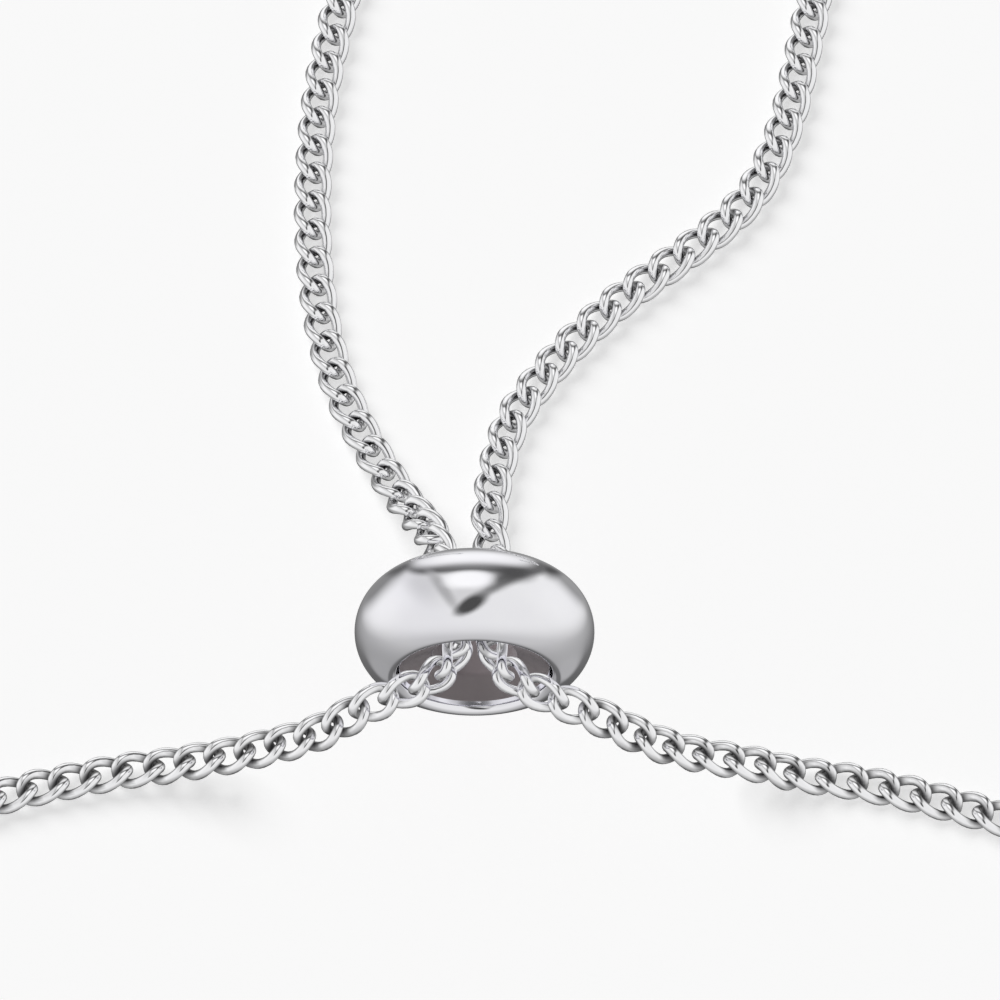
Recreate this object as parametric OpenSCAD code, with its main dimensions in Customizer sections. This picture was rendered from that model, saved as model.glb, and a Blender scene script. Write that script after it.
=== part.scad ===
// Slider chain bracelet: a fine curb chain whose two ends pass through one polished bead.
// The loop lies on a flat surface, z = 0, with its middle at the origin and the bead towards +Y.

/* [Slider bead] */
// Outer diameter of the bead
bead_d = 8; // [7.8:0.1:8.4]
// Diameter of the round hole through the bead
bore_d = 5.1; // [4.9:0.1:5.3]
// Radius of the bead's rounded cross-section
bead_round = 1.83; // [1.75:0.01:1.9]
// Radius of the rounded lip round each opening
lip_round = 0.25; // [0.2:0.01:0.3]

/* [Stopper] */
// Half length of the stopper at its rim
stopper_rim = 1.4; // [1.1:0.05:1.4]
// Half length of the stopper at its hole
stopper_waist = 0.9; // [0.7:0.05:1]
// Diameter of the hole that grips the chain
grip_d = 2.8; // [2.7:0.05:3]
// Gap between the stopper and the bead
stopper_gap = 0.05; // [0.03:0.01:0.1]

/* [Chain] */
// Diameter of the links' wire
wire_d = 0.26; // [0.24:0.01:0.3]
// Distance from one joint between links to the next
link_pitch = 1.085; // [1.07:0.005:1.1]
// Width across one link
link_w = 1.29; // [1.24:0.01:1.3]
// Free play of each joint along the chain
link_play = 0.19; // [0.12:0.01:0.2]
// Twist of each link's ends out of its middle plane
link_turn = 38; // [36:1:40]
// How square each link's oval is, where 2 is a plain oval
link_square = 2.5; // [2.3:0.1:2.8]
// Links of the left tail
tail_left_links = 28; // [20:1:28]
// Links of the right tail
tail_right_links = 31; // [20:1:31]
// Links of each side before the plain back stretch
side_links = 31; // [20:1:32]

/* [Tail ends] */
// Diameter of the stop ball on each tail
stop_d = 2; // [1.8:0.1:2.2]
// Diameter of the ring that joins the ball to its chain, to the middle of its wire
eye_d = 1; // [0.9:0.05:1.1]

/* [Hidden] */
$fn = 96;

// The slider lies with its lowest point on the surface
slider_at = [0, 24, bead_d / 2];

// Routes from the slider's middle outwards: x, y, z and roll about the chain, in degrees
tail_left_route = [
    [-0.7, 24, 4, -90], [-0.5, 24.7, 3.5, -70], [-0.75, 25.8, 3.5, -61], [-1.45, 28.6, 2.3, -33],
    [-1.9, 29.45, 1.6, -23], [-2.55, 30.8, 0.78, 0], [-3.6, 32.8, 0.45, 5], [-4.6, 35.1, 0.4, 5],
    [-5.2, 37.6, 0.4, 5], [-5.5, 40.5, 0.4, 5], [-5.5, 43.5, 0.4, 5], [-5.25, 46.5, 0.4, 5],
    [-4.7, 49.4, 0.4, 5], [-4.1, 52, 0.5, 5], [-3.6, 54.2, 1.1, 5]];
tail_right_route = [
    [0.3, 24, 4, -90], [0.7, 24.75, 3.7, -89], [0.7, 25.9, 3.25, -65], [0.65, 26.75, 2.1, -51],
    [0.7, 27.95, 0.8, -10], [0.5, 29.1, 0.5, -21], [0.5, 30.2, 0.5, 7], [0.6, 31.35, 0.45, 7],
    [0.85, 32.4, 0.45, 5], [1.1, 33.5, 0.4, 5], [1.8, 34.75, 0.4, 5], [3.1, 36.5, 0.4, 5],
    [5.05, 38.5, 0.4, 5], [7.3, 40.3, 0.4, 5], [9.35, 42.3, 0.4, 5], [10.55, 45, 0.4, 5],
    [11.2, 48, 0.4, 5], [11.6, 50.1, 0.4, 5], [11.85, 52.3, 0.6, 5], [12.1, 54.5, 1.2, 5]];
side_left_route = [
    [-0.7, 24, 4, -90], [-0.5, 23.6, 3.9, -76], [-1, 22.6, 4, -59], [-1.95, 21.9, 4.1, -55],
    [-2.75, 21.65, 3.95, -49], [-3.4, 21.5, 3.75, -32], [-5.15, 20.85, 2.75, -29],
    [-6.5, 20.75, 2.15, -19], [-7.8, 20.6, 1.7, -20], [-9.2, 20.6, 1.2, -9], [-10.5, 20.6, 0.7, -1],
    [-11.8, 20.55, 0.5, 0], [-13.15, 20.3, 0.4, 0], [-14.5, 20.02, 0.4, 0], [-16, 19.6, 0.4, 0],
    [-20, 18.2, 0.4, 0], [-24.5, 15.7, 0.4, 0], [-28.3, 12, 0.4, 0], [-30.8, 7.2, 0.4, 0],
    [-31.6, 1.8, 0.4, 0], [-30.6, -4, 0.4, 0], [-27.6, -9.6, 0.4, 0], [-22.8, -14.3, 0.4, 0],
    [-16.6, -17.7, 0.4, 0], [-9.8, -19.6, 0.4, 0], [-3.2, -20.4, 0.5, 0], [0, -20.5, 0.6, 0]];
side_right_route = [
    [0.3, 24, 4, 90], [0.6, 23.5, 3.8, 62], [1.2, 22.3, 3.95, 73], [1.9, 21.9, 3.95, 43],
    [2.45, 21.65, 3.9, 51], [3.95, 21.25, 3.4, 28], [5.5, 20.8, 2.6, 19], [6.85, 20.6, 1.95, 2],
    [8.2, 20.55, 1.45, 0], [9.5, 20.45, 1.2, -5], [10.85, 20.35, 0.6, 2], [12.2, 20.3, 0.4, 0],
    [13.5, 20.03, 0.4, 0], [14.85, 19.69, 0.4, 0], [16.2, 19.28, 0.4, 0], [20, 18, 0.4, 0],
    [24.5, 15.6, 0.4, 0], [28.3, 12, 0.4, 0], [30.8, 7.2, 0.4, 0], [31.6, 1.8, 0.4, 0],
    [30.6, -4, 0.4, 0], [27.6, -9.6, 0.4, 0], [22.8, -14.3, 0.4, 0], [16.6, -17.7, 0.4, 0],
    [9.8, -19.6, 0.4, 0], [3.2, -20.4, 0.5, 0], [0, -20.5, 0.6, 0]];

// Steps that each stretch between two route points is cut into
route_steps = 8;
// The links in the slider that join each side to its tail: roll about the chain
left_mid_roll = -90;
right_mid_roll = 38;

// A link's wire is drawn with this many stretches round the link and sides round the wire
link_stretches = 10;
wire_sides = 5;
half_len = (link_pitch + wire_d + link_play) / 2;
half_wid = (link_w - wire_d) / 2;

// The plain back stretch has the chain's width and height, and a ring every few millimetres
back_half = [link_w / 2, 0.39];
back_sides = 8;
back_step = 3;
back_gap = 0.11;

// Where the bead's rounded cross-section is centred, and where its lips are
bead_centre = bead_d / 2 - bead_round;
lip_at = bore_d / 2 + lip_round;
lip_y = sqrt((bead_round - lip_round) ^ 2 - (lip_at - bead_centre) ^ 2);
lip_dir = [lip_at - bead_centre, lip_y] / (bead_round - lip_round);

// How far the stop ball sinks into its ring's wire
stop_sink = 0.1;

function unit(v) = v / norm(v);
function place(row) = [row[0], row[1], row[2]];

// Row i of a route, carried on straight past its two ends
function route_row(route, i) =
    i < 0 ? 2 * route[0] - route[1]
    : i >= len(route) ? 2 * route[len(route) - 1] - route[len(route) - 2]
    : route[i];

// Smooth curve through the rows, at the fraction t between row i and the next
function route_between(route, i, t) =
    let (a = route_row(route, i - 1), b = route[i], c = route[i + 1], d = route_row(route, i + 2))
    0.5 * (2 * b + (c - a) * t + (2 * a - 5 * b + 4 * c - d) * t ^ 2 + (3 * b - a - 3 * c + d) * t ^ 3);
function smooth_route(route) = [
    for (i = [0:len(route) - 2], k = [0:route_steps - 1]) route_between(route, i, k / route_steps),
    route[len(route) - 1]];

// A measured route is the rows of a smooth route, each with the length walked so far in front
function measured(rows) = [
    for (i = 0, s = 0; i < len(rows);
        s = s + (i + 1 < len(rows) ? norm(place(rows[i + 1]) - place(rows[i])) : 0), i = i + 1)
        [s, rows[i]]];
function total(walk) = walk[len(walk) - 1][0];
function row_at(walk, s) = [for (k = [0:3]) lookup(s, [for (w = walk) [w[0], w[1][k]]])];

// The joints between the links lie half a pitch from each link's middle
function joints(walk, pitch, count) = [for (k = [0:count]) row_at(walk, (k + 0.5) * pitch)];

// A side's pitch is eased so that its links and the other side's meet at the back
function side_pitch(walk) = total(walk) / round(total(walk) / link_pitch);

// Where a link between the joints a and b lies: x along the chain, y across it
function link_frame(a, b, roll) =
    let (
        middle = (place(a) + place(b)) / 2,
        along = unit(place(b) - place(a)),
        up = unit([0, 0, 1] - along[2] * along),
        across = cross(up, along) * cos(roll) + up * sin(roll),
        normal = cross(along, across))
    [for (k = [0:2]) [along[k], across[k], normal[k], middle[k]]];

left_walk = measured(smooth_route(side_left_route));
right_walk = measured(smooth_route(side_right_route));
tail_left_walk = measured(smooth_route(tail_left_route));
tail_right_walk = measured(smooth_route(tail_right_route));
side_left_joints = joints(left_walk, side_pitch(left_walk), side_links);
side_right_joints = joints(right_walk, side_pitch(right_walk), side_links);
tail_left_joints = joints(tail_left_walk, link_pitch, tail_left_links);
tail_right_joints = joints(tail_right_walk, link_pitch, tail_right_links);

// Middle line of a link's wire: a squarish oval whose ends turn out of its plane, to the hand given
function squared(wave) = sign(wave) * abs(wave) ^ (2 / link_square);
function wire_middle(t, turn) =
    let (x = half_len * squared(cos(t)), y = half_wid * squared(sin(t)), out = turn * x / (link_pitch / 2))
    [x, y * cos(out), y * sin(out)];
function wire_ring(t, turn) =
    let (
        p = wire_middle(t, turn),
        along = unit(wire_middle(t + 2, turn) - wire_middle(t - 2, turn)),
        outward = unit(p - (p * along) * along),
        side = cross(along, outward))
    [for (j = [0:wire_sides - 1])
        p + wire_d / 2 * (cos(360 * j / wire_sides) * outward + sin(360 * j / wire_sides) * side)];

// The two triangles between ring i and the next, at side j, for rings of n points
function band(i, next, j, n) =
    let (k = (j + 1) % n)
    [[next * n + k, i * n + k, i * n + j], [next * n + j, next * n + k, i * n + j]];

module link(turn) {
    points = [for (i = [0:link_stretches - 1]) each wire_ring(360 * i / link_stretches, turn)];
    faces = [for (i = [0:link_stretches - 1], j = [0:wire_sides - 1])
        each band(i, (i + 1) % link_stretches, j, wire_sides)];
    polyhedron(points, faces);
}

module link_between(a, b, roll, turn) {
    multmatrix(link_frame(a, b, roll)) link(turn);
}

module strand(joints, turn) {
    for (k = [0:len(joints) - 2])
        link_between(joints[k], joints[k + 1], (joints[k][3] + joints[k + 1][3]) / 2, turn);
}

// Half of the bead's cross-section that lies outside the bore, its lips rounded
module bead_section() {
    far = 2 * bead_round / lip_dir[0];
    intersection() {
        translate([bead_centre, 0]) circle(bead_round);
        polygon([
            [lip_at, -lip_y], [bead_centre + far * lip_dir[0], -far * lip_dir[1]],
            [bead_centre + far * lip_dir[0], far * lip_dir[1]], [lip_at, lip_y]]);
    }
    for (side = [-1, 1]) translate([lip_at, side * lip_y]) circle(lip_round);
    translate([bore_d / 2, -lip_y]) square([lip_round, 2 * lip_y]);
}

// Polished silver bead, hollow from end to end along Y
module slider_shell() {
    color([0.86, 0.86, 0.85])
        translate(slider_at) rotate([-90, 0, 0]) rotate_extrude() bead_section();
}

// Silicone plug in the bead, dished at both ends, with one hole that grips both strands
module slider_stopper() {
    rim = bore_d / 2 - stopper_gap;
    color([0.42, 0.38, 0.38])
        translate(slider_at) rotate([-90, 0, 0]) rotate_extrude()
            polygon([
                [grip_d / 2, -stopper_waist], [rim, -stopper_rim],
                [rim, stopper_rim], [grip_d / 2, stopper_waist]]);
}

// Both tails, the crossing in the slider and the near part of both sides
module chain() {
    color([0.82, 0.82, 0.81]) {
        strand(tail_left_joints, -link_turn);
        strand(tail_right_joints, -link_turn);
        strand(side_left_joints, -link_turn);
        strand(side_right_joints, link_turn);
        link_between(side_left_joints[0], tail_left_joints[0], left_mid_roll, -link_turn);
        link_between(side_right_joints[0], tail_right_joints[0], right_mid_roll, 0);
    }
}

// The rest of the loop as a plain stretch of the chain's outer size
module chain_back() {
    start = link_play / 2 + wire_d + back_gap;
    left_from = (side_links + 0.5) * side_pitch(left_walk) + start;
    right_from = (side_links + 0.5) * side_pitch(right_walk) + start;
    left_count = round((total(left_walk) - left_from) / back_step);
    right_count = round((total(right_walk) - right_from) / back_step);
    left_step = (total(left_walk) - left_from) / left_count;
    right_step = (total(right_walk) - right_from) / right_count;
    path = [
        for (k = [0:left_count]) place(row_at(left_walk, left_from + k * left_step)),
        for (k = [right_count - 1:-1:0]) place(row_at(right_walk, right_from + k * right_step))];
    last = len(path) - 1;
    points = [for (i = [0:last])
        let (along = unit(path[min(i + 1, last)] - path[max(i - 1, 0)]), across = unit([-along[1], along[0], 0]))
        for (j = [0:back_sides - 1])
            let (angle = 360 * (j + 0.5) / back_sides, wide = 1 / cos(180 / back_sides))
            path[i] + wide * (back_half[0] * cos(angle) * across + back_half[1] * sin(angle) * [0, 0, 1])];
    faces = [
        [for (j = [0:back_sides - 1]) j],
        for (i = [0:last - 1], j = [0:back_sides - 1]) each band(i, i + 1, j, back_sides),
        [for (j = [back_sides - 1:-1:0]) last * back_sides + j]];
    color([0.82, 0.82, 0.81]) polyhedron(points, faces);
}

// Stop ball soldered to a ring that passes through the last link of a tail
module tail_end(joints) {
    last = len(joints) - 1;
    eye_x = link_pitch / 2 - (wire_d + link_play) / 2 + eye_d / 2;
    ball_x = eye_x + (eye_d + wire_d) / 2 + stop_d / 2 - stop_sink;
    color([0.86, 0.86, 0.85])
        multmatrix(link_frame(joints[last - 1], joints[last], joints[last][3]))
            rotate([-link_turn, 0, 0]) {
                translate([eye_x, 0, 0]) rotate([90, 0, 0])
                    rotate_extrude() translate([eye_d / 2, 0]) circle(wire_d / 2);
                translate([ball_x, 0, 0]) sphere(stop_d / 2);
            }
}
module tail_end_left() {
    tail_end(tail_left_joints);
}
module tail_end_right() {
    tail_end(tail_right_joints);
}

slider_shell();
slider_stopper();
chain();
chain_back();
tail_end_left();
tail_end_right();
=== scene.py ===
"""A silver slider chain bracelet lying on a pale table, seen close up at the slider bead."""
import math

import bpy
import numpy as np
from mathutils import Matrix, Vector


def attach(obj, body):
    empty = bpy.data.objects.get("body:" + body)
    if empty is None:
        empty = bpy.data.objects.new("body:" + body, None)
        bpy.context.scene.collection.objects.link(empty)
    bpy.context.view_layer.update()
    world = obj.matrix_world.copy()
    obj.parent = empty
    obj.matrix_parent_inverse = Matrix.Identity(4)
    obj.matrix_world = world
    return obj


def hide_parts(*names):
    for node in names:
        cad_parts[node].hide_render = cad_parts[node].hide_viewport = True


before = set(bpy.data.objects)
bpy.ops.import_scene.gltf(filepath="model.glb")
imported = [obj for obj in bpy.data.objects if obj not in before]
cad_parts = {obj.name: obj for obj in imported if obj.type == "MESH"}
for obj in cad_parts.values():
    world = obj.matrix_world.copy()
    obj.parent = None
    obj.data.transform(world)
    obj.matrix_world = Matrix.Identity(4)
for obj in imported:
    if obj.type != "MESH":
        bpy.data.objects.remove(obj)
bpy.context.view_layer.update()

# Camera
# A long lens looks down at the slider from the loop's side, as steeply as the bead's open end
# shows. The frame is 33 mm wide at the slider, which sits left of its middle and below it.
MM = 0.001
SLIDER_AT = Vector((0, 24, 4)) * MM
FRAME_WIDTH = 33.33 * MM
LOOK_DOWN = math.radians(63)
SLIDER_LEFT = 0.85 * MM
SLIDER_BELOW = 4.4 * MM
LENS_MM = 600
SENSOR_MM = 36
NEAREST_SEEN = 10 * MM
FARTHEST_SEEN = 3000 * MM

view_dir = Vector((0, math.cos(LOOK_DOWN), -math.sin(LOOK_DOWN)))
view_up = Vector((0, math.sin(LOOK_DOWN), math.cos(LOOK_DOWN)))
aim = SLIDER_AT + Vector((SLIDER_LEFT, 0, 0)) + view_up * SLIDER_BELOW
camera = bpy.data.objects.new("camera", bpy.data.cameras.new("camera"))
camera.data.lens = LENS_MM
camera.data.sensor_width = SENSOR_MM
camera.data.clip_start = NEAREST_SEEN
camera.data.clip_end = FARTHEST_SEEN
camera.location = aim - view_dir * FRAME_WIDTH * LENS_MM / SENSOR_MM
camera.rotation_euler = (math.pi / 2 - LOOK_DOWN, 0, 0)
bpy.context.scene.collection.objects.link(camera)
bpy.context.scene.camera = camera

# Slider bead
# The real bead is a hollow oblate ring of sterling silver, turned, then polished to a mirror.
# Its cross-section is a round that the bore cuts, and a small lip rounds each open end.
BEAD_RADIUS = 4.0 * MM
BEAD_ROUND = 1.83 * MM
BORE_RADIUS = 2.55 * MM
LIP_ROUND = 0.25 * MM
BEAD_AROUND = 320
BEAD_STEPS = 80
LIP_STEPS = 14
BORE_STEPS = 16
SILVER_HEX = "fafafb"
SILVER_HAZE_HEX = "ecebf2"
# Near black of sulphide, also painted on the chain as shade where its links meet
SULPHIDE_AND_SHADE_HEX = "2c2b2d"
MIRROR_ROUGHNESS = 0.05
HAZE_ROUGHNESS = 0.1
# Octaves of the noise that draws broad patches, and of the noise that draws fine marks
PATCH_OCTAVES = 3.0
MARK_OCTAVES = 2.0
HAZE_PATCH = 2.5 * MM
HAZE_NONE_AT = 0.35
HAZE_FULL_AT = 0.7
# Real polishing marks are a few thousandths of a millimetre apart: drawn coarser, so that they show
POLISH_MARK = 0.06 * MM
MARK_STRENGTH = 0.15
MARK_DEPTH = 0.002 * MM


def linear(hex_colour):
    """An sRGB hex colour as linear red, green, blue and alpha."""
    channels = [int(hex_colour[i:i + 2], 16) / 255 for i in (0, 2, 4)]
    return [c / 12.92 if c <= 0.04045 else ((c + 0.055) / 1.055) ** 2.4 for c in channels] + [1]


def add(tree, kind, inputs=None, **settings):
    """One node with its settings. Each input, by name or number, is a value or another node's output."""
    made = tree.nodes.new(kind)
    for name, value in settings.items():
        setattr(made, name, value)
    for name, value in (inputs or {}).items():
        if isinstance(value, bpy.types.NodeSocket):
            tree.links.new(value, made.inputs[name])
        else:
            made.inputs[name].default_value = value
    return made


def new_material(name):
    """An empty node material and its node tree."""
    material = bpy.data.materials.new(name)
    material.use_nodes = True
    material.node_tree.nodes.clear()
    return material, material.node_tree


def polished_silver(name, roughness, haze, mark_depth, haze_hex=SILVER_HAZE_HEX, sulphide_and_shade=None):
    """Polished sterling silver: a near white mirror, softened by a faint haze in broad patches
    where the polishing marks are denser. Where the named point attribute is high, the mirror is
    darkened with sulphide and with painted shade where chain links meet."""
    material, tree = new_material(name)
    place = add(tree, "ShaderNodeTexCoord").outputs["Object"]
    patches = add(tree, "ShaderNodeTexNoise", {
        "Vector": place, "Scale": 1 / HAZE_PATCH, "Detail": PATCH_OCTAVES})
    marks = add(tree, "ShaderNodeTexNoise", {
        "Vector": place, "Scale": 1 / POLISH_MARK, "Detail": MARK_OCTAVES})
    gloss = add(tree, "ShaderNodeMapRange", {
        "Value": patches.outputs["Fac"], "From Min": HAZE_NONE_AT, "From Max": HAZE_FULL_AT,
        "To Min": roughness, "To Max": haze})
    tone = add(tree, "ShaderNodeMixRGB", {
        "Fac": patches.outputs["Fac"], "Color1": linear(SILVER_HEX), "Color2": linear(haze_hex)})
    # Sulphide and painted shade where chain links meet darken the colour
    if sulphide_and_shade:
        sulphide_and_shade_share = add(tree, "ShaderNodeAttribute", attribute_name=sulphide_and_shade)
        tone = add(tree, "ShaderNodeMixRGB", {
            "Fac": sulphide_and_shade_share.outputs["Fac"], "Color1": tone.outputs["Color"], "Color2": linear(SULPHIDE_AND_SHADE_HEX)})
    bump = add(tree, "ShaderNodeBump", {
        "Height": marks.outputs["Fac"], "Strength": MARK_STRENGTH, "Distance": mark_depth})
    shader = add(tree, "ShaderNodeBsdfPrincipled", {
        "Base Color": tone.outputs["Color"], "Metallic": 1.0, "Roughness": gloss.outputs["Result"],
        "Normal": bump.outputs["Normal"]})
    add(tree, "ShaderNodeOutputMaterial", {"Surface": shader.outputs["BSDF"]})
    return material


def smooth_object(name, points, faces, material):
    """A smooth-shaded mesh object, its points in metres where they lie in the frame."""
    mesh = bpy.data.meshes.new(name)
    mesh.from_pydata(points, [], faces)
    mesh.polygons.foreach_set("use_smooth", [True] * len(faces))
    mesh.materials.append(material)
    made = bpy.data.objects.new(name, mesh)
    bpy.context.scene.collection.objects.link(made)
    return made


def arc(centre, radius, start, end, steps):
    """Points on an arc in the section plane: distance from the slider's axis, and along it."""
    angles = [math.radians(start + (end - start) * k / steps) for k in range(steps + 1)]
    return [(centre[0] + radius * math.cos(a), centre[1] + radius * math.sin(a)) for a in angles]


def turned(name, section, around, material):
    """A closed section revolved about the slider's own axis, which lies along Y."""
    points, faces = [], []
    rows = len(section)
    for i in range(around):
        angle = 2 * math.pi * i / around
        for out, along in section:
            points.append(SLIDER_AT + Vector((out * math.sin(angle), along, out * math.cos(angle))))
        following = (i + 1) % around
        for j in range(rows):
            k = (j + 1) % rows
            faces.append((i * rows + j, i * rows + k, following * rows + k, following * rows + j))
    return smooth_object(name, points, faces, material)


round_centre = BEAD_RADIUS - BEAD_ROUND
lip_out = BORE_RADIUS + LIP_ROUND
lip_along = math.sqrt((BEAD_ROUND - LIP_ROUND) ** 2 - (lip_out - round_centre) ** 2)
lip_angle = math.degrees(math.atan2(lip_along, lip_out - round_centre))
bead_section = (
    arc((round_centre, 0), BEAD_ROUND, -lip_angle, lip_angle, BEAD_STEPS)
    + arc((lip_out, lip_along), LIP_ROUND, lip_angle, 180, LIP_STEPS)[1:]
    + [(BORE_RADIUS, lip_along * (1 - 2 * k / BORE_STEPS)) for k in range(1, BORE_STEPS)]
    + arc((lip_out, -lip_along), LIP_ROUND, 180, 360 - lip_angle, LIP_STEPS)[:-1])
bead_silver = polished_silver(
    "mirror_polished_sterling_silver", MIRROR_ROUGHNESS, HAZE_ROUGHNESS, MARK_DEPTH)
bead = turned("slider_bead", bead_section, BEAD_AROUND, bead_silver)
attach(bead, "root")
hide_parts("slider_shell")

# Stopper
# A plug of taupe silicone is pressed into the bead. Both its faces are dished towards one
# round hole, which grips the two strands of chain so that the bead stays where it is slid.
STOPPER_RIM = 1.4 * MM
STOPPER_WAIST = 0.9 * MM
STOPPER_RADIUS = 2.5 * MM
GRIP_RADIUS = 1.4 * MM
STOPPER_EDGE = 0.12 * MM
STOPPER_AROUND = 160
EDGE_STEPS = 6
SILICONE_HEX = "847b7d"
SILICONE_PALE_HEX = "978e90"
SILICONE_ROUGHNESS = 0.42
SILICONE_IOR = 1.41
SILICONE_CLOUD = 0.9 * MM
# The mould's real grain is finer than the render can show, and is drawn this coarse
SILICONE_GRAIN = 0.04 * MM
GRAIN_STRENGTH = 0.3
GRAIN_DEPTH = 0.004 * MM


def moulded_silicone(name):
    """Silicone rubber from a blasted mould: a soft satin sheen over a faintly cloudy body."""
    material, tree = new_material(name)
    place = add(tree, "ShaderNodeTexCoord").outputs["Object"]
    cloud = add(tree, "ShaderNodeTexNoise", {
        "Vector": place, "Scale": 1 / SILICONE_CLOUD, "Detail": PATCH_OCTAVES})
    grain = add(tree, "ShaderNodeTexNoise", {
        "Vector": place, "Scale": 1 / SILICONE_GRAIN, "Detail": MARK_OCTAVES})
    tone = add(tree, "ShaderNodeMixRGB", {
        "Fac": cloud.outputs["Fac"], "Color1": linear(SILICONE_HEX), "Color2": linear(SILICONE_PALE_HEX)})
    bump = add(tree, "ShaderNodeBump", {
        "Height": grain.outputs["Fac"], "Strength": GRAIN_STRENGTH, "Distance": GRAIN_DEPTH})
    shader = add(tree, "ShaderNodeBsdfPrincipled", {
        "Base Color": tone.outputs["Color"], "Roughness": SILICONE_ROUGHNESS, "IOR": SILICONE_IOR,
        "Normal": bump.outputs["Normal"]})
    add(tree, "ShaderNodeOutputMaterial", {"Surface": shader.outputs["BSDF"]})
    return material


def rounded(corners, radius, steps):
    """A closed outline with each of its corners rounded."""
    outline = []
    count = len(corners)
    for i, corner in enumerate(corners):
        here = Vector(corner)
        before = (Vector(corners[i - 1]) - here).normalized()
        after = (Vector(corners[(i + 1) % count]) - here).normalized()
        for k in range(steps + 1):
            t = k / steps
            bend = before * radius * (1 - t) ** 2 + after * radius * t ** 2
            outline.append(tuple(here + bend))
    return outline


stopper_section = rounded([
    (GRIP_RADIUS, -STOPPER_WAIST), (STOPPER_RADIUS, -STOPPER_RIM),
    (STOPPER_RADIUS, STOPPER_RIM), (GRIP_RADIUS, STOPPER_WAIST)], STOPPER_EDGE, EDGE_STEPS)
stopper = turned(
    "slider_stopper_plug", stopper_section, STOPPER_AROUND, moulded_silicone("moulded_taupe_silicone"))
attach(stopper, "root")
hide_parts("slider_stopper")

# Chain
# One length of fine curb chain makes the loop and both tails. Each link is an oval of round
# silver wire, soldered shut and twisted so that it lies flat on the next, then tumble polished.
# All sizes in this section are in mm.
LINK_PITCH = 1.085
LINK_WIRE = 0.34
LINK_WIDTH = 1.29
LINK_PLAY = 0.06
LINK_TURN = 38
# How square the link's oval is: 2 is an ellipse
LINK_SQUARE = 2.5
LINK_STRETCHES = 36
WIRE_SIDES = 14
WIRE_ROUGHNESS = 0.06
WIRE_HAZE_ROUGHNESS = 0.1
WIRE_HAZE_HEX = "f8f8fa"
WIRE_MARK_DEPTH = 0.001
# Sulphide and painted shade where a link meets the next ones: full up to the first gap from the
# next link, none from the second, and how dark. The loop's sides beyond the bead's open end and its
# back show in no mirror, so their neighbours' mirrored dark is painted on them as deeper shade.
# The plain rings, which lie open, get little.
FREE_SULPHIDE_AND_SHADE = (0.04, 0.18, 0.78)
DEEP_SULPHIDE_AND_SHADE = (0.08, 0.31, 1.0)
RING_SULPHIDE_AND_SHADE = (0.05, 0.15, 0.4)
# Counts of links: each tail's, each side's up to the loop's back, a tail's and a side's first ones
# that are in or near the slider, and a side's first ones that lie in the bead's open end
TAIL_LEFT_LINKS = 28
TAIL_RIGHT_LINKS = 31
SIDE_LINKS = 31
TAIL_HELD = 4
SIDE_HELD = 9
MOUTH_LINKS = 4
# Roll of the three links that join two strands
LEFT_MID_ROLL = -90
RIGHT_MID_ROLL = 38
BACK_ROLL = 52
# The strands' routes outwards from the slider's middle: x, y, z and the roll in degrees
ROUTE_STEPS = 8
TAIL_LEFT_ROUTE = [
    (-0.7, 24, 4, -90), (-0.5, 24.7, 3.5, -70), (-0.75, 25.8, 3.5, -61), (-1.45, 28.6, 2.3, -33),
    (-1.9, 29.45, 1.6, -23), (-2.55, 30.8, 0.78, 0), (-3.6, 32.8, 0.45, 5), (-4.6, 35.1, 0.4, 5),
    (-5.2, 37.6, 0.4, 5), (-5.5, 40.5, 0.4, 5), (-5.5, 43.5, 0.4, 5), (-5.25, 46.5, 0.4, 5),
    (-4.7, 49.4, 0.4, 5), (-4.1, 52, 0.5, 5), (-3.6, 54.2, 1.1, 5)]
TAIL_RIGHT_ROUTE = [
    (0.3, 24, 4, -90), (0.7, 24.75, 3.7, -89), (0.7, 25.9, 3.25, -65), (0.65, 26.75, 2.1, -51),
    (0.7, 27.95, 0.8, -10), (0.5, 29.1, 0.5, -21), (0.5, 30.2, 0.5, 7), (0.6, 31.35, 0.45, 7),
    (0.85, 32.4, 0.45, 5), (1.1, 33.5, 0.4, 5), (1.8, 34.75, 0.4, 5), (3.1, 36.5, 0.4, 5),
    (5.05, 38.5, 0.4, 5), (7.3, 40.3, 0.4, 5), (9.35, 42.3, 0.4, 5), (10.55, 45, 0.4, 5),
    (11.2, 48, 0.4, 5), (11.6, 50.1, 0.4, 5), (11.85, 52.3, 0.6, 5), (12.1, 54.5, 1.2, 5)]
SIDE_LEFT_ROUTE = [
    (-0.7, 24, 4, -90), (-0.5, 23.6, 3.9, -76), (-1, 22.6, 4, -59), (-1.95, 21.9, 4.1, -55),
    (-2.75, 21.65, 3.95, -49), (-3.4, 21.5, 3.75, -32), (-5.15, 20.85, 2.75, -29),
    (-6.5, 20.75, 2.15, -19), (-7.8, 20.6, 1.7, -20), (-9.2, 20.6, 1.2, -9), (-10.5, 20.6, 0.7, -1),
    (-11.8, 20.55, 0.5, 0), (-13.15, 20.3, 0.4, 0), (-14.5, 20.02, 0.4, 0), (-16, 19.6, 0.4, 0),
    (-20, 18.2, 0.4, 0), (-24.5, 15.7, 0.4, 0), (-28.3, 12, 0.4, 0), (-30.8, 7.2, 0.4, 0),
    (-31.6, 1.8, 0.4, 0), (-30.6, -4, 0.4, 0), (-27.6, -9.6, 0.4, 0), (-22.8, -14.3, 0.4, 0),
    (-16.6, -17.7, 0.4, 0), (-9.8, -19.6, 0.4, 0), (-3.2, -20.4, 0.5, 0), (0, -20.5, 0.6, 0)]
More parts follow.
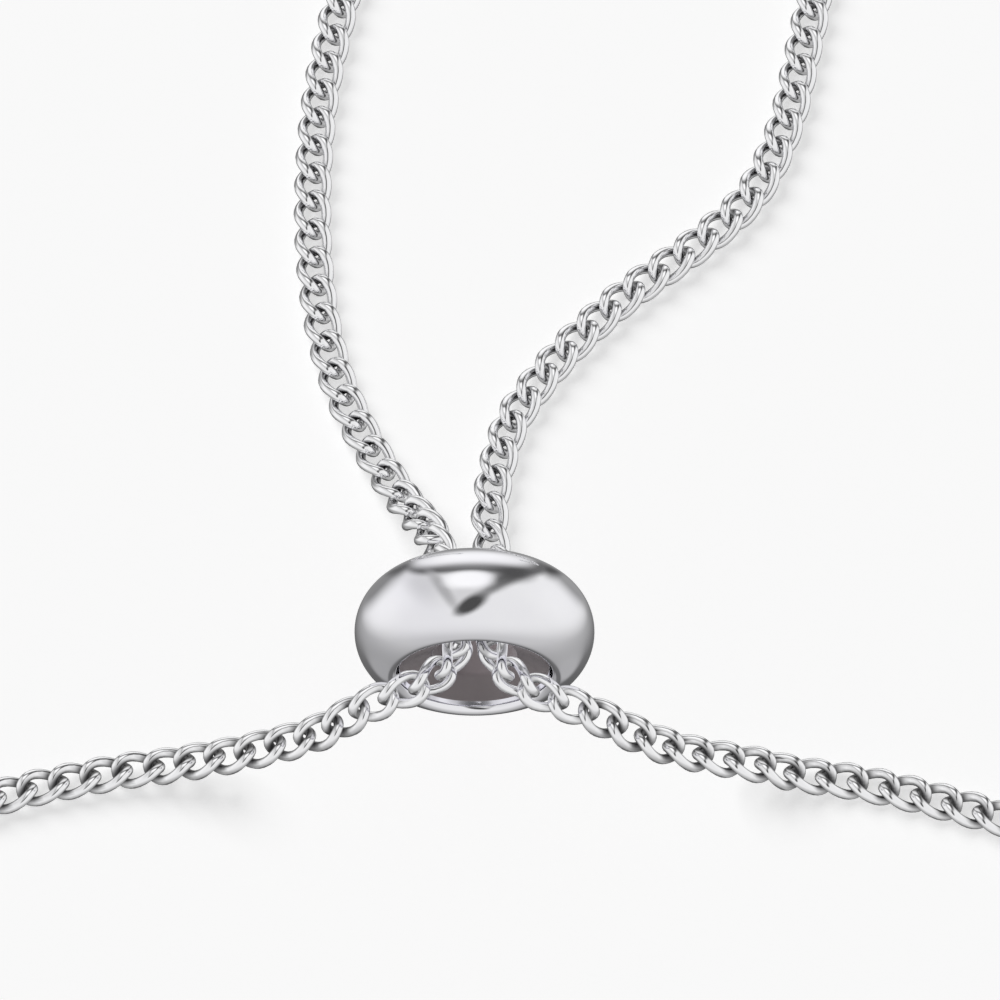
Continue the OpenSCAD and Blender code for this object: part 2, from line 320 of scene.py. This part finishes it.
SIDE_RIGHT_ROUTE = [
    (0.3, 24, 4, 90), (0.6, 23.5, 3.8, 62), (1.2, 22.3, 3.95, 73), (1.9, 21.9, 3.95, 43),
    (2.45, 21.65, 3.9, 51), (3.95, 21.25, 3.4, 28), (5.5, 20.8, 2.6, 19), (6.85, 20.6, 1.95, 2),
    (8.2, 20.55, 1.45, 0), (9.5, 20.45, 1.2, -5), (10.85, 20.35, 0.6, 2), (12.2, 20.3, 0.4, 0),
    (13.5, 20.03, 0.4, 0), (14.85, 19.69, 0.4, 0), (16.2, 19.28, 0.4, 0), (20, 18, 0.4, 0),
    (24.5, 15.6, 0.4, 0), (28.3, 12, 0.4, 0), (30.8, 7.2, 0.4, 0), (31.6, 1.8, 0.4, 0),
    (30.6, -4, 0.4, 0), (27.6, -9.6, 0.4, 0), (22.8, -14.3, 0.4, 0), (16.6, -17.7, 0.4, 0),
    (9.8, -19.6, 0.4, 0), (3.2, -20.4, 0.5, 0), (0, -20.5, 0.6, 0)]


def smooth_route(route):
    """Dense rows on a smooth curve through the route's own rows."""
    rows = np.array(route, float)
    rows = np.vstack([2 * rows[0] - rows[1], rows, 2 * rows[-1] - rows[-2]])
    dense = []
    for a, b, c, d in zip(rows, rows[1:], rows[2:], rows[3:]):
        for t in np.arange(ROUTE_STEPS) / ROUTE_STEPS:
            dense.append(0.5 * (
                2 * b + (c - a) * t + (2 * a - 5 * b + 4 * c - d) * t ** 2
                + (3 * b - a - 3 * c + d) * t ** 3))
    dense.append(rows[-2])
    return np.array(dense)


def joints_along(route, count=None):
    """The joints between the links of one strand, the first half a pitch from the slider's middle.
    A tail has the count of links given. A side has none, and its pitch is eased so that it ends
    half a pitch short of the loop's far middle, where one ring joins both sides."""
    rows = smooth_route(route)
    walked = np.concatenate([[0], np.cumsum(np.linalg.norm(np.diff(rows[:, :3], axis=0), axis=1))])
    pitch = LINK_PITCH
    if count is None:
        pitch = walked[-1] / round(walked[-1] / LINK_PITCH)
        count = round(walked[-1] / pitch) - 1
    at = (np.arange(count + 1) + 0.5) * pitch
    return np.stack([np.interp(at, walked, rows[:, k]) for k in range(4)], axis=1)


def wire_middle(turn):
    """Middle line of one link's wire: a squarish oval whose ends turn out of its plane."""
    t = np.arange(LINK_STRETCHES) * 2 * np.pi / LINK_STRETCHES
    cos, sin = (np.sign(wave) * np.abs(wave) ** (2 / LINK_SQUARE) for wave in (np.cos(t), np.sin(t)))
    x = (LINK_PITCH + LINK_WIRE + LINK_PLAY) / 2 * cos
    y = (LINK_WIDTH - LINK_WIRE) / 2 * sin
    out = np.radians(turn) * x / (LINK_PITCH / 2)
    return np.stack([x, y * np.cos(out), y * np.sin(out)], axis=1)


def link_points(turn):
    """Surface points of one link, a ring of points round the wire at each stretch."""
    middle = wire_middle(turn)
    along = np.roll(middle, -1, axis=0) - np.roll(middle, 1, axis=0)
    along /= np.linalg.norm(along, axis=1, keepdims=True)
    outward = middle - along * np.sum(middle * along, axis=1, keepdims=True)
    outward /= np.linalg.norm(outward, axis=1, keepdims=True)
    sideways = np.cross(along, outward)
    angle = np.arange(WIRE_SIDES) * 2 * np.pi / WIRE_SIDES
    ring = np.cos(angle)[:, None] * outward[:, None] + np.sin(angle)[:, None] * sideways[:, None]
    return (middle[:, None] + ring * LINK_WIRE / 2).reshape(-1, 3)


def link_sulphide_and_shade(turn, full_at, none_at, depth):
    """How dark each point of a link is, 0 to 1, where the next two links bear on it: sulphide that
    the tumbler's steel shot doesn't reach, and painted shade from those links."""
    wire = wire_middle(turn)
    bearing = np.concatenate([wire + [LINK_PITCH, 0, 0], wire - [LINK_PITCH, 0, 0]])
    gap = np.linalg.norm(link_points(turn)[:, None] - bearing, axis=2).min(axis=1) - LINK_WIRE / 2
    near = np.clip((none_at - gap) / (none_at - full_at), 0, 1)
    return depth * near * near * (3 - 2 * near)


def link_faces():
    """The faces that join each ring of a link to the next."""
    faces = []
    for i in range(LINK_STRETCHES):
        following = (i + 1) % LINK_STRETCHES
        for j in range(WIRE_SIDES):
            k = (j + 1) % WIRE_SIDES
            faces.append((
                i * WIRE_SIDES + j, i * WIRE_SIDES + k,
                following * WIRE_SIDES + k, following * WIRE_SIDES + j))
    return np.array(faces)


def placed_link(a, b, roll, turn, sulphide_and_shade):
    """One link's points between the joints a and b, rolled about the chain, each with its sulphide and
    painted shade.
    """
    along = (b[:3] - a[:3]) / np.linalg.norm(b[:3] - a[:3])
    up = np.array([0, 0, 1]) - along[2] * along
    up /= np.linalg.norm(up)
    across = np.cross(up, along) * math.cos(math.radians(roll)) + up * math.sin(math.radians(roll))
    axes = np.stack([along, across, np.cross(along, across)])
    points = link_points(turn) @ axes + (a[:3] + b[:3]) / 2
    return np.column_stack([points, link_sulphide_and_shade(turn, *sulphide_and_shade)])


def run_of_links(joints, turn, sulphide_and_shade):
    """The links between each joint and the next."""
    return [placed_link(a, b, (a[3] + b[3]) / 2, turn, sulphide_and_shade) for a, b in zip(joints, joints[1:])]


def linked_mesh(name, links, material):
    """All the links of one stretch of chain as one joined mesh."""
    one = link_faces()
    faces = np.concatenate([one + i * LINK_STRETCHES * WIRE_SIDES for i in range(len(links))])
    points = np.concatenate(links)
    made = smooth_object(name, points[:, :3] * MM, faces.tolist(), material)
    # Each point's sulphide and painted shade, as the named attribute that the silver reads
    made.data.attributes.new("sulphide_and_shade", "FLOAT", "POINT").data.foreach_set("value", points[:, 3])
    return made


tail_left = joints_along(TAIL_LEFT_ROUTE, TAIL_LEFT_LINKS)
tail_right = joints_along(TAIL_RIGHT_ROUTE, TAIL_RIGHT_LINKS)
side_left = joints_along(SIDE_LEFT_ROUTE)
side_right = joints_along(SIDE_RIGHT_ROUTE)
chain_silver = polished_silver(
    "tumble_polished_sterling_silver_wire", WIRE_ROUGHNESS, WIRE_HAZE_ROUGHNESS, WIRE_MARK_DEPTH * MM,
    WIRE_HAZE_HEX, sulphide_and_shade="sulphide_and_shade")

# The right side's links are twisted the other way. The chain is in pieces because the light treats
# them apart: the tails, the sides beyond the slider, the links in and near it, and the loop's back.
chain_tails = linked_mesh("chain_tail_links", (
    run_of_links(tail_left[TAIL_HELD:], -LINK_TURN, FREE_SULPHIDE_AND_SHADE)
    + run_of_links(tail_right[TAIL_HELD:], -LINK_TURN, FREE_SULPHIDE_AND_SHADE)), chain_silver)
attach(chain_tails, "root")
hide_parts("chain")

chain_sides = linked_mesh("chain_side_links", (
    run_of_links(side_left[SIDE_HELD:SIDE_LINKS + 1], -LINK_TURN, DEEP_SULPHIDE_AND_SHADE)
    + run_of_links(side_right[SIDE_HELD:SIDE_LINKS + 1], LINK_TURN, DEEP_SULPHIDE_AND_SHADE)), chain_silver)
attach(chain_sides, "root")
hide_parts("chain")

chain_held = linked_mesh("chain_links_in_the_slider", (
    run_of_links(tail_left[:TAIL_HELD + 1], -LINK_TURN, FREE_SULPHIDE_AND_SHADE)
    + run_of_links(tail_right[:TAIL_HELD + 1], -LINK_TURN, FREE_SULPHIDE_AND_SHADE)
    + run_of_links(side_left[:MOUTH_LINKS + 1], -LINK_TURN, FREE_SULPHIDE_AND_SHADE)
    + run_of_links(side_right[:MOUTH_LINKS + 1], LINK_TURN, FREE_SULPHIDE_AND_SHADE)
    + run_of_links(side_left[MOUTH_LINKS:SIDE_HELD + 1], -LINK_TURN, DEEP_SULPHIDE_AND_SHADE)
    + run_of_links(side_right[MOUTH_LINKS:SIDE_HELD + 1], LINK_TURN, DEEP_SULPHIDE_AND_SHADE)
    + [placed_link(side_left[0], tail_left[0], LEFT_MID_ROLL, -LINK_TURN, FREE_SULPHIDE_AND_SHADE),
       placed_link(side_right[0], tail_right[0], RIGHT_MID_ROLL, 0, RING_SULPHIDE_AND_SHADE)]), chain_silver)
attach(chain_held, "root")
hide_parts("chain")

chain_back = linked_mesh("chain_back_links", (
    run_of_links(side_left[SIDE_LINKS:], -LINK_TURN, DEEP_SULPHIDE_AND_SHADE)
    + run_of_links(side_right[SIDE_LINKS:], LINK_TURN, DEEP_SULPHIDE_AND_SHADE)
    + [placed_link(side_left[-1], side_right[-1], BACK_ROLL, 0, RING_SULPHIDE_AND_SHADE)]), chain_silver)
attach(chain_back, "root")
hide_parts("chain_back")

# Tail ends
# A solid silver ball is soldered to a small ring that hangs in the last link of each tail, so
# that the chain can't be pulled out of the slider. It is polished like the bead.
for end in ("tail_end_left", "tail_end_right"):
    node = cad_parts[end]
    node.data.materials.clear()
    node.data.materials.append(bead_silver)

# Table and studio
# The bracelet lies on a light table of opal acrylic. A tent of white cards surrounds it and shows
# only in the silver: a white wall beyond a dark arch, a white top, and the dark camera.
TABLE_HEX = "e6e6e6"
WHITE_HEX = "ffffff"
TABLE_GLOW = 0.519
TABLE_SIZE = 4000 * MM
FILL_STRENGTH = 0.20
KEY_STRENGTH = 1.53
KEY_AZIMUTH = -48
KEY_ELEVATION = 44
KEY_SOFT = 42
TENT_RADIUS = 500 * MM
TENT_COLUMNS = 360
TENT_ROWS = 180
# Keeps the view straight up finite at the point right below the slider
STRAIGHT_DOWN = 0.001
# Tone of the tent by elevation in degrees: the table as the silver mirrors it, then the walls
TENT_TONES = [
    (-90, 0.06), (-60, 0.17), (-42, 0.38), (-20, 0.58), (-4, 0.62), (4, 0.66), (90, 0.70)]
# Cards as seen straight up from the slider, where 0 is overhead and 1 is the horizon: middle to
# the right and away, half width, half length, turn to the right in degrees, how square the oval
# is, edge softness and tone. A later card covers an earlier one.
TENT_CARDS = [
    (0.00, 0.72, 1.72, 1.68, 0, 2.0, 0.40, 0.86),  # white top
    (-0.95, 0.25, 0.40, 0.45, 0, 2.0, 1.50, 0.95),  # glow on its left
    (0.90, 0.25, 0.40, 0.45, 0, 2.0, 1.50, 0.92),  # glow on its right
    (-1.10, 1.62, 0.60, 0.90, 0, 2.0, 1.00, 0.26),  # grey wall, far left
    (1.10, 1.75, 0.55, 0.90, 0, 2.0, 1.00, 0.34),  # grey wall, far right
    (-0.70, 1.85, 0.19, 0.80, 0, 2.0, 0.90, 0.13),  # left foot of the dark arch
    (0.68, 1.75, 0.19, 0.85, 0, 2.0, 0.90, 0.09),  # right foot of the dark arch
    (-0.44, 0.28, 0.15, 0.42, -14, 2.0, 1.60, 0.70),  # fold in the top, left
    (-0.07, -0.06, 0.14, 0.28, 0, 2.0, 1.20, 0.70),  # fold in the top, middle
    (0.02, 1.50, 0.66, 1.12, 0, 3.0, 0.15, 0.15),  # dark arch
    (-0.265, 0.10, 0.05, 0.46, -14, 2.0, 1.40, 0.46),  # seam from the arch's left down to the camera
    (0.15, 0.06, 0.045, 0.26, 28, 2.0, 1.50, 0.42),  # seam from its right, near the camera
    (0.25, 0.27, 0.085, 0.32, 28, 2.0, 1.40, 0.17),  # the same, darker in the middle
    (0.33, 0.48, 0.15, 0.24, 28, 2.0, 1.40, 0.09),  # the same, wide and dark at the arch
    (-0.02, 1.50, 0.53, 0.82, 0, 3.2, 0.36, 0.84),  # white wall in the arch
    (-0.02, 1.10, 0.34, 0.42, 0, 2.0, 1.30, 1.04),  # its bright middle
    (0.00, 3.00, 0.90, 1.50, 0, 2.0, 0.70, 0.30),  # shade on the table beyond the slider
    (-3.10, -1.90, 1.70, 1.70, 0, 2.0, 1.00, 0.38),  # shade on the table, near left
    (3.10, -1.90, 1.70, 1.70, 0, 2.0, 1.00, 0.44),  # shade on the table, near right
    (-0.05, 0.22, 0.18, 0.17, 0, 2.3, 0.90, 1.05),  # lamp between the seams
    (-0.035, -0.27, 0.09, 0.225, 26, 2.2, 0.90, 0.075)]  # camera


def direction(azimuth, elevation):
    """Unit vector; azimuth 0 is +Y and 90 is +X, in degrees."""
    a, e = math.radians(azimuth), math.radians(elevation)
    return np.array([math.sin(a) * math.cos(e), math.cos(a) * math.cos(e), math.sin(e)])


def card_cover(seen, right, away, half_width, half_length, turn, square, soft):
    """How much an oval card covers each place of the view straight up, from 0 to 1."""
    cos, sin = math.cos(math.radians(turn)), math.sin(math.radians(turn))
    x, y = seen[:, 0] - right, seen[:, 1] - away
    across = np.abs(x * cos - y * sin) / half_width
    along = np.abs(x * sin + y * cos) / half_length
    out = (across ** square + along ** square) ** (1 / square)
    inside = np.clip((1 + soft / 2 - out) / soft, 0, 1)
    return inside * inside * (3 - 2 * inside)


def studio_tent():
    """A sphere of paper cards that only mirror reflections see: soft, even white and grey. The
    tone of each direction is on its points."""
    azimuths = np.linspace(0, 360, TENT_COLUMNS, endpoint=False)
    elevations = np.linspace(-90, 90, TENT_ROWS + 1)
    towards = np.array([direction(a, e) for e in elevations for a in azimuths])
    seen = towards[:, :2] / np.maximum(1 + towards[:, 2:], STRAIGHT_DOWN)
    tone = np.interp(np.repeat(elevations, TENT_COLUMNS), *zip(*TENT_TONES))
    for *card, card_tone in TENT_CARDS:
        cover = card_cover(seen, *card)
        tone = tone * (1 - cover) + card_tone * cover
    faces = []
    for i in range(TENT_ROWS):
        for j in range(TENT_COLUMNS):
            k = (j + 1) % TENT_COLUMNS
            low, high = i * TENT_COLUMNS, (i + 1) * TENT_COLUMNS
            faces.append((low + j, low + k, high + k, high + j))
    material, tree = new_material("white_studio_paper_cards")
    glow = add(tree, "ShaderNodeAttribute", attribute_name="tone")
    light = add(tree, "ShaderNodeEmission", {"Color": glow.outputs["Color"]})
    add(tree, "ShaderNodeOutputMaterial", {"Surface": light.outputs["Emission"]})
    material.cycles.emission_sampling = "NONE"
    tent = smooth_object("studio_tent", towards * TENT_RADIUS + np.array(SLIDER_AT), faces, material)
    shade = tent.data.attributes.new("tone", "FLOAT_COLOR", "POINT")
    shade.data.foreach_set("color", np.stack([tone, tone, tone, np.ones_like(tone)], axis=1).ravel())
    tent.visible_camera = False
    tent.visible_diffuse = False
    tent.visible_transmission = False
    tent.visible_shadow = False
    return tent


def light_table():
    """Cast opal acrylic with a sanded face, lit from below: an even white without any gloss, on
    which shadows are pale because part of the light comes through it."""
    material, tree = new_material("backlit_sanded_opal_acrylic")
    top = add(tree, "ShaderNodeBsdfDiffuse", {"Color": linear(TABLE_HEX)})
    glow = add(tree, "ShaderNodeEmission", {"Color": linear(WHITE_HEX), "Strength": TABLE_GLOW})
    both = add(tree, "ShaderNodeAddShader", {0: top.outputs["BSDF"], 1: glow.outputs["Emission"]})
    add(tree, "ShaderNodeOutputMaterial", {"Surface": both.outputs["Shader"]})
    half = TABLE_SIZE / 2
    corners = [(-half, -half, 0), (half, -half, 0), (half, half, 0), (-half, half, 0)]
    table = smooth_object("table", corners, [(0, 1, 2, 3)], material)
    table.visible_glossy = False
    return table


studio_tent()
light_table()
# The bead mirrors the tent, but throws none of the tent's light on the table
bead.visible_diffuse = False
# Mirrored, these would break up the bead's smooth lower sides and its lip
for piece in (stopper, chain_sides, chain_held, chain_back):
    piece.visible_glossy = False

world = bpy.data.worlds.new("studio_fill")
world.use_nodes = True
fill = world.node_tree.nodes["Background"]
fill.inputs["Color"].default_value = linear(WHITE_HEX)
fill.inputs["Strength"].default_value = FILL_STRENGTH
bpy.context.scene.world = world

# The chain on the table casts the key light's only shadows: the slider's would fall far from it
key = bpy.data.objects.new("key_light", bpy.data.lights.new("key_light", "SUN"))
key.data.energy = KEY_STRENGTH
key.data.angle = math.radians(KEY_SOFT)
key.rotation_euler = Vector(direction(KEY_AZIMUTH, KEY_ELEVATION)).to_track_quat("Z", "Y").to_euler()
key.visible_glossy = False
key.light_linking.blocker_collection = bpy.data.collections.new("casts_key_shadow")
for piece in (chain_tails, chain_sides, chain_back):
    key.light_linking.blocker_collection.objects.link(piece)
bpy.context.scene.collection.objects.link(key)
bpy.context.scene.view_settings.view_transform = "Standard"
